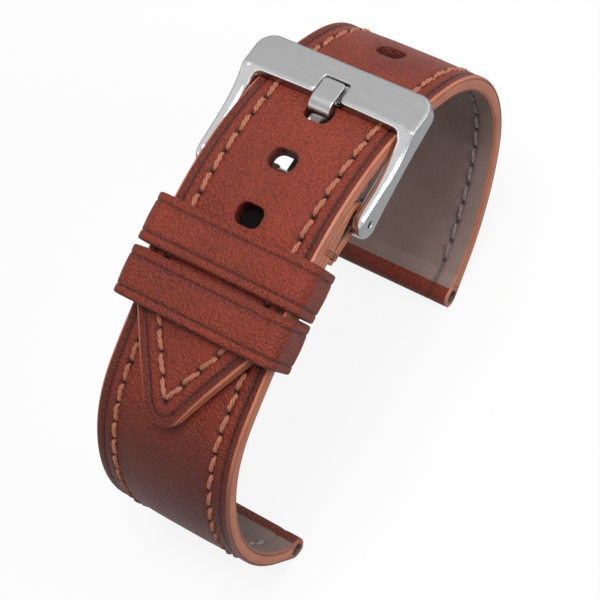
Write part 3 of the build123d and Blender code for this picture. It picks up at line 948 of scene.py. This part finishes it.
def add_stitch(points, faces, start, end, out, radius, rise, twist):
    """One stitch: plies twisted about a line out of one hole and into the next."""
    start, end, out = np.array(start), np.array(end), np.array(out)
    along = (end - start) / np.linalg.norm(end - start)
    side = np.cross(along, out)
    for ply in range(PLIES):
        line = []
        for i in range(STITCH_STEPS + 1):
            t = i / STITCH_STEPS
            swell = 1 - abs(2 * t - 1) ** STITCH_SWELL_POWER
            a = 2 * math.pi * (STITCH_TURNS * t + ply / PLIES) + twist
            middle = start + (end - start) * t + out * (rise * swell - STITCH_DIVE * (1 - swell))
            spin = math.cos(a) * side + math.sin(a) * out
            line.append(middle + radius * (PLY_PLACE + PLY_SWELL * swell) * spin)
        add_tube(points, faces, line, side, [out] * len(line), radius * PLY_RADIUS)


def stitch_rows(name, shape, rows, inward):
    """The stitches of both rows of a strap, on its outer or inner face."""
    material, radius, rise, relief = YARNS[inward]
    points, faces = [], []
    for side, row in rows.items():
        lean = STITCH_LEAN * side
        for k, ((s0, y0), (s1, y1)) in enumerate(zip(row, row[1:])):
            ends = []
            for s, y, share in ((s0, y0 - lean, STITCH_TRIM), (s1, y1 + lean, -STITCH_TRIM)):
                s = s + share * (s1 - s0)
                y = y + share * (y1 - y0)
                depth = relief(shape.inset(s, y), FAR_FROM_NEEDLE)[0]
                ends.append(face_point(shape.section, s, y, depth, inward))
            outer, inner = shape.section((s0 + s1) / 2)
            out = (inner - outer) if inward else (outer - inner)
            out = out / np.linalg.norm(out)
            out = (out[0], 0.0, out[1])
            add_stitch(points, faces, *ends, out, radius, rise, STITCH_TWIST * k)
    thing = mesh_object(name, points, faces, material)
    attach(thing, "straps")


stitch_rows("tail_strap_stitching", TAIL, TAIL_STITCHES, False)
stitch_rows("buckle_strap_stitching", BUCKLE, BUCKLE_STITCHES, False)
stitch_rows("tail_lining_stitching", TAIL, TAIL_STITCHES, True)
stitch_rows("buckle_lining_stitching", BUCKLE, BUCKLE_STITCHES, True)

# ---- Keepers
KEEPER_INSETS = (
    0, 0.03, 0.09, 0.18, 0.3, 0.5, 0.8, 1.0, 1.12, 1.22, 1.32, 1.45, 1.7, 2.1, 2.7, 3.4,
)
KEEPER_CORNER_STEPS = 12
KEEPER_FLAT_STEPS = (26, 6, 26, 6)
KEEPER_EDGE_ROUND = 0.35
KEEPER_INNER_ROUND = 0.2
# These have the meanings that they have for the straps
KEEPER_CREASE = (0.13, 1.22, 0.15)
KEEPER_LINES = ((0.8, 1.22, 0.13), (0.4, 1.4, 0.3))
KEEPER_PADDING, KEEPER_EDGE_SHADE = (0.07, 1.1, 3.4), (0.35, 0.1, 0.6)


def keeper_ring(wall, height):
    """Points of a rounded rectangle round the strap, each with its outward direction."""
    r = KEEPER_ROUND + wall
    a, b = KEEPER_SIDE + wall - r, height / 2 + wall - r
    centres = ((a, b), (-a, b), (-a, -b), (a, -b))
    outline = []
    for quarter, (cy, cv) in enumerate(centres):
        for k in range(KEEPER_CORNER_STEPS + 1):
            angle = math.pi / 2 * (quarter + k / KEEPER_CORNER_STEPS)
            ray = (math.cos(angle), math.sin(angle))
            outline.append((cy + r * ray[0], cv + r * ray[1], ray))
        next_y, next_v = centres[(quarter + 1) % 4]
        steps = KEEPER_FLAT_STEPS[quarter]
        for k in range(1, steps):
            share = k / steps
            y = cy + (next_y - cy) * share + r * ray[0]
            v = cv + (next_v - cv) * share + r * ray[1]
            outline.append((y, v, ray))
    return outline


def keeper(name, place, seat, body):
    """A leather band round the strap, with a crease near each edge."""
    high, low = OUTER + KEEPER_CLEARANCE, -THICKNESS - seat
    middle = (low + high) / 2
    origin = at(place)
    along, out = directions(heading_at(place))
    skin = Skin()

    def vertex(u, y, v, ray, depth, dark):
        y, v = y - depth * ray[0], v - depth * ray[1] + middle
        spot = origin + along * u + out * v
        return skin.add((spot[0], y, spot[1]), dark)

    outer_ring, inner_ring = keeper_ring(KEEPER_WALL, high - low), keeper_ring(0.0, high - low)
    across = [-KEEPER_WIDTH / 2 + v for v in KEEPER_INSETS]
    across += [-v for v in reversed(across[:-1])]
    outs, ins = [], []
    for u in across:
        inset = KEEPER_WIDTH / 2 - abs(u)
        depth = rounded_edge(inset, KEEPER_EDGE_ROUND) + bell(inset, *KEEPER_CREASE)
        depth += fading(inset, *KEEPER_PADDING)
        lines = [bell(inset, *line) for line in KEEPER_LINES]
        dark = max(fading(inset, *KEEPER_EDGE_SHADE), *lines)
        inner_depth = -rounded_edge(inset, KEEPER_INNER_ROUND)
        outs.append([vertex(u, y, v, ray, depth, dark) for y, v, ray in outer_ring])
        ins.append([vertex(u, y, v, ray, inner_depth, 0.0) for y, v, ray in inner_ring])
    last = len(across) - 2
    for i in range(last + 1):
        skin.join("edge" if i in (0, last) else "cover", outs[i], outs[i + 1])
        skin.join("lining", ins[i], ins[i + 1], True)
    skin.join("edge", ins[0], outs[0])
    skin.join("edge", ins[-1], outs[-1], True)
    cover, lining = name + "_cover", name + "_lining"
    skin.object(cover + "_leather", "cover", COVER, body, "cover_leather", cover)
    skin.object(name + "_painted_edge", "edge", EDGE, body, "cover_leather", cover)
    skin.object(lining + "_leather", "lining", LINING, body, "lining_leather", lining)


keeper("fixed_keeper", FIXED_KEEPER_AT, KEEPER_SEAT, "straps")
keeper("floating_keeper", FLOATING_KEEPER_AT, KEEPER_CLEARANCE, "floating_keeper")

# ---- Binding thread, sewn round the fold's edges between the keeper and the buckle
BINDING_RADIUS = 0.17
BINDING_WRAPS = 3
BINDING_PITCH = 2.1 * BINDING_RADIUS
BINDING_FROM = BAR_AT - BAR_FLAP + 0.6
BINDING_STEPS = 6
BINDING_LEAN = 0.5
BINDING_TURN_STEPS = 9
BINDING_PLY_PLACE, BINDING_PLY_RADIUS = 0.5, 0.62
BINDING_LOW = -OUTER - (BAR_FOLD - BAR_BORE)
BINDING_SIDE = HALF_WIDTH + BINDING_RADIUS
BINDING_TURN_IN, BINDING_TURN_DOWN = 0.3, 0.4
# One wrap's corners, across the strap and above the loop's line
BINDING_RUN = (
    (ROW_Y, 0.0),
    (HALF_WIDTH - BINDING_TURN_IN, BINDING_RADIUS),
    (BINDING_SIDE, -BINDING_TURN_DOWN),
    (BINDING_SIDE, BINDING_LOW + BINDING_TURN_DOWN),
    (HALF_WIDTH - BINDING_TURN_IN, BINDING_LOW - BINDING_RADIUS),
    (ROW_Y, BINDING_LOW),
)
BINDING_POINTS = BINDING_STEPS * (len(BINDING_RUN) - 1)


def wrap_line(s, side):
    """The middle of one wrap, which leans along the strap as it goes round."""
    line = []
    for (y0, n0), (y1, n1) in zip(BINDING_RUN, BINDING_RUN[1:]):
        for k in range(BINDING_STEPS):
            t = k / BINDING_STEPS
            lean = BINDING_LEAN * (len(line) / BINDING_POINTS)
            spot = at(s + lean, n0 + (n1 - n0) * t)
            line.append(np.array((spot[0], side * (y0 + (y1 - y0) * t), spot[1])))
    return line


def binding(name, side):
    points, faces = [], []
    for wrap in range(BINDING_WRAPS):
        s = BINDING_FROM + wrap * BINDING_PITCH
        line = wrap_line(s, side)
        heading = heading_at(s)
        along = np.array((math.cos(heading), 0, math.sin(heading)))
        for ply in (0, 1):
            strand, ups = [], []
            for i, p in enumerate(line):
                before, after = line[max(i - 1, 0)], line[min(i + 1, len(line) - 1)]
                tangent = (after - before) / np.linalg.norm(after - before)
                up = np.cross(tangent, along)
                a = 2 * math.pi * (i / BINDING_TURN_STEPS) + math.pi * ply
                spin = math.cos(a) * along + math.sin(a) * up
                strand.append(p + BINDING_RADIUS * BINDING_PLY_PLACE * spin)
                ups.append(up)
            add_tube(points, faces, strand, along, ups, BINDING_RADIUS * BINDING_PLY_RADIUS)
    thing = mesh_object(name, points, faces, THREAD)
    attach(thing, "straps")


binding("binding_thread_left", 1)
binding("binding_thread_right", -1)

# ---- Buckle
WELD = 0.002
SMOOTHING = 0.5
FRAME_VOXEL, FRAME_PASSES, FRAME_WORN_PASSES = 0.13, 5, 220
TONGUE_VOXEL, TONGUE_PASSES = 0.08, 4
WINDOW_END = BAR[0] + 12.0
WINDOW_CORNER = 1.0
WALL_LEAN = (-0.4, 0.1)
WALL_TOP = 3.3
WALL_NEAR_ARM, WALL_NEAR_END = 0.02, 0.1
ARM_WORN, BAR_WORN, BAR_WORN_FROM = (1.0, 0.9, 1.2), (0.35, 0.5, 0.8), 1.1
UPPER_SLOPE, UPPER_BAND = 0.22, (0.2, 0.6)
WORN_PAST_WINDOW = 1.0
WINDOW_FACING, WINDOW_FROM = -0.85, 6.0
ARM_OUTSIDE, SIDE_FACING, SIDE_UPWARD = 1.0, 0.2, 0.1
BAR_TOP_FROM, BAR_TOP_FACING = 0.3, 0.5
TONGUE_LOW, TONGUE_FLAT_FACING = 2.4, 0.93


def apply_modifiers(thing):
    bpy.context.view_layer.update()
    seen = thing.evaluated_get(bpy.context.evaluated_depsgraph_get())
    ready = bpy.data.meshes.new_from_object(seen)
    thing.modifiers.clear()
    thing.data = ready


def copy_of(name, source):
    """A copy of a CAD piece, its faces joined at their edges."""
    thing = placed(name, frame["nodes"][source].data.copy())
    thing.data.materials.clear()
    joined = thing.modifiers.new("weld", "WELD")
    joined.merge_threshold = WELD * MM
    apply_modifiers(thing)
    return thing


def remesh(thing, voxel):
    fine = thing.modifiers.new("fine", "REMESH")
    fine.mode = "VOXEL"
    fine.voxel_size = voxel * MM
    apply_modifiers(thing)


def wear_round(thing, passes, group=""):
    worn = thing.modifiers.new("worn", "SMOOTH")
    worn.factor, worn.iterations, worn.vertex_group = SMOOTHING, passes, group


def finish_steel(thing, source, body, finish_of, materials):
    """Gives each face its finish, and puts the piece in the CAD piece's place."""
    mesh = thing.data
    index = {material.name: i for i, material in enumerate(materials)}
    for material in materials:
        mesh.materials.append(material)
    mesh.polygons.foreach_set("use_smooth", [True] * len(mesh.polygons))
    for face in mesh.polygons:
        face.material_index = index[finish_of(face.center / MM, face.normal).name]
    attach(thing, body)
    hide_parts(source)


def wall_shift(place):
    """The bar's inner wall leans a little, its foot towards the window."""
    inside = abs(place.y) < ARM_INSIDE + WALL_NEAR_ARM and place.x < WINDOW_END + WALL_NEAR_END
    if inside and place.z < BAR[1] + WALL_TOP:
        share = min(max((place.x - WINDOW_END + WINDOW_CORNER) / WINDOW_CORNER, 0.0), 1.0)
        return Vector((WALL_LEAN[0] * share, 0.0, WALL_LEAN[1] * share))
    return Vector((0.0, 0.0, 0.0))


def frame_wear(place):
    """Where the frame is worn the most: the upper edges round its window."""
    wear = fading(abs(abs(place.y) - ARM_INSIDE), *ARM_WORN)
    if abs(place.y) < ARM_INSIDE and place.x > WINDOW_END - BAR_WORN_FROM:
        wear = fading(abs(place.x - WINDOW_END), *BAR_WORN)
    height = place.z - BAR[1] - UPPER_SLOPE * max(place.x - BAR[0], 0.0)
    upper = smooth(height, *UPPER_BAND)
    return wear * upper * (1 if place.x < WINDOW_END + WORN_PAST_WINDOW else 0)


def frame_finish(centre, normal):
    inside = abs(centre.y) < ARM_INSIDE
    # The window's inner wall gets the darker steel: painted shade
    if normal.x < WINDOW_FACING and inside and centre.x > BAR[0] + WINDOW_FROM:
        return PAINTED_SHADE_STEEL
    if abs(centre.y) > ARM_INSIDE + ARM_OUTSIDE and abs(normal.y) > SIDE_FACING:
        return BRUSHED if centre.x > WINDOW_END and normal.z > SIDE_UPWARD else SATIN
    if centre.x > WINDOW_END + BAR_TOP_FROM and normal.z > BAR_TOP_FACING:
        return BRUSHED
    return POLISHED


def tongue_finish(centre, normal):
    # The tongue's lower part, down in the hole, gets the darker steel: painted shade
    if centre.z < BAR[1] + TONGUE_LOW:
        return PAINTED_SHADE_STEEL
    return BRUSHED if normal.z > TONGUE_FLAT_FACING else BENT


buckle_frame = copy_of("buckle_frame_steel", "buckle_frame")
for vert in buckle_frame.data.vertices:
    vert.co += wall_shift(vert.co / MM) * MM
remesh(buckle_frame, FRAME_VOXEL)
worn_group = buckle_frame.vertex_groups.new(name="round")
for vert in buckle_frame.data.vertices:
    wear = frame_wear(vert.co / MM)
    if wear > 0:
        worn_group.add([vert.index], wear, "REPLACE")
wear_round(buckle_frame, FRAME_PASSES)
wear_round(buckle_frame, FRAME_WORN_PASSES, "round")
apply_modifiers(buckle_frame)
frame_steels = (BRUSHED, SATIN, POLISHED, PAINTED_SHADE_STEEL)
finish_steel(buckle_frame, "buckle_frame", "frame", frame_finish, frame_steels)

buckle_tongue = copy_of("buckle_tongue_steel", "buckle_tongue")
remesh(buckle_tongue, TONGUE_VOXEL)
wear_round(buckle_tongue, TONGUE_PASSES)
apply_modifiers(buckle_tongue)
finish_steel(buckle_tongue, "buckle_tongue", "tongue", tongue_finish, (BRUSHED, BENT, PAINTED_SHADE_STEEL))

for name in ("spring_bar_tube", "spring_bar_pin_left", "spring_bar_pin_right", "spring_bar_spring"):
    piece = frame["nodes"][name]
    piece.data.materials.clear()
    piece.data.materials.append(TURNED)

# ---- Floor, light and camera
FLOOR_HALF = 4.0 / MM
FLOOR_SEEN, FLOOR_LIT = grey(0.95), grey(0.25)
FLOOR_GLOW_SEEN, FLOOR_GLOW_MIRRORED = 0.88, 0.55
LAMP_TARGET = (0, 0, 0.03)
# The studio's brightness by height: for the light that falls on things, and in reflections
SOFT_STOPS = ((0.0, 0.10), (0.35, 0.30), (0.70, 0.90))
MIRROR_STOPS = ((0.0, 0.16), (0.10, 0.22), (0.22, 1.5), (0.45, 1.5), (0.60, 1.0))
STUDIO_STRENGTH, MIRROR_EXTRA = 0.24, 0.66


def blend_shaders(tree, share, first, second, output):
    both = node(tree, "MixShader")
    for place, value in enumerate((share, first.outputs[0], second.outputs[0])):
        connect(tree, value, both.inputs[place])
    connect(tree, both.outputs[0], tree.nodes[output].inputs["Surface"])


def floor():
    material, tree, shader = new_material("floor")
    glow = node(tree, "Emission", Color=WHITE, Strength=1.0)
    ray = node(tree, "LightPath").outputs
    pale = mix(tree, ray["Is Camera Ray"], FLOOR_LIT, FLOOR_SEEN)
    surface(tree, shader, pale, 0.9)
    seen = maths(tree, "MULTIPLY", ray["Is Camera Ray"], FLOOR_GLOW_SEEN)
    mirrored = maths(tree, "MULTIPLY", ray["Is Glossy Ray"], FLOOR_GLOW_MIRRORED)
    share = maths(tree, "MAXIMUM", seen, mirrored)
    blend_shaders(tree, share, shader, glow, "Material Output")
    h = FLOOR_HALF
    corners = [(-h, -h, 0), (h, -h, 0), (h, h, 0), (-h, h, 0)]
    thing = mesh_object("floor", corners, [(0, 1, 2, 3)], material)


def lamp(name, place, size, power):
    light = bpy.data.lights.new(name, "AREA")
    light.shape = "DISK"
    light.size = size
    light.energy = power
    thing = placed(name, light)
    thing.location = place
    ray = Vector(LAMP_TARGET) - Vector(place)
    thing.rotation_euler = ray.to_track_quat("-Z", "Y").to_euler()


def studio():
    """A bright ceiling over greyer walls, and plain white where the camera looks."""
    world = bpy.data.worlds.new("world")
    bpy.context.scene.world = world
    world.use_nodes = True
    tree = world.node_tree
    sky = tree.nodes["Background"]
    direction = node(tree, "TexCoord").outputs["Generated"]
    height = node(tree, "SeparateXYZ", Vector=direction).outputs["Z"]
    soft = ramp(tree, height, *((place, grey(value)) for place, value in SOFT_STOPS))
    mirror = ramp(tree, height, *((place, grey(value)) for place, value in MIRROR_STOPS))
    ray = node(tree, "LightPath").outputs
    glossy = ray["Is Glossy Ray"]
    connect(tree, mix(tree, glossy, soft, mirror), sky.inputs["Color"])
    extra = maths(tree, "MULTIPLY", glossy, MIRROR_EXTRA)
    connect(tree, maths(tree, "ADD", extra, STUDIO_STRENGTH), sky.inputs["Strength"])
    white = node(tree, "Background", Color=WHITE)
    blend_shaders(tree, ray["Is Camera Ray"], sky, white, "World Output")


floor()
lamp("key", (0.03, -0.05, 0.80), 0.40, 3.65)
lamp("side", (0.15, -0.75, 0.42), 0.5, 2.9)
lamp("back", (0.7, -0.1, 0.4), 0.5, 1.0)
studio()

# The camera's place and its right and up directions, worked out from the photograph
FOCAL_PX = 1870.0
PHOTO_PX = 600.0
SENSOR = 36.0
CAMERA_AT = Vector((-0.0635, -0.1095, 0.24975))
right = Vector((0.52096, -0.81585, -0.25097)).normalized()
up = Vector((0.81985, 0.39644, 0.41312)).normalized()
back = right.cross(up)
camera_data = bpy.data.cameras.new("camera")
camera_data.sensor_width = SENSOR
camera_data.lens = FOCAL_PX / PHOTO_PX * SENSOR
camera_data.clip_start = 0.01
camera = placed("camera", camera_data)
turned = Matrix((right, up, back)).transposed().to_4x4()
camera.matrix_world = Matrix.Translation(CAMERA_AT) @ turned
bpy.context.scene.camera = camera
bpy.context.scene.view_settings.view_transform = "Standard"
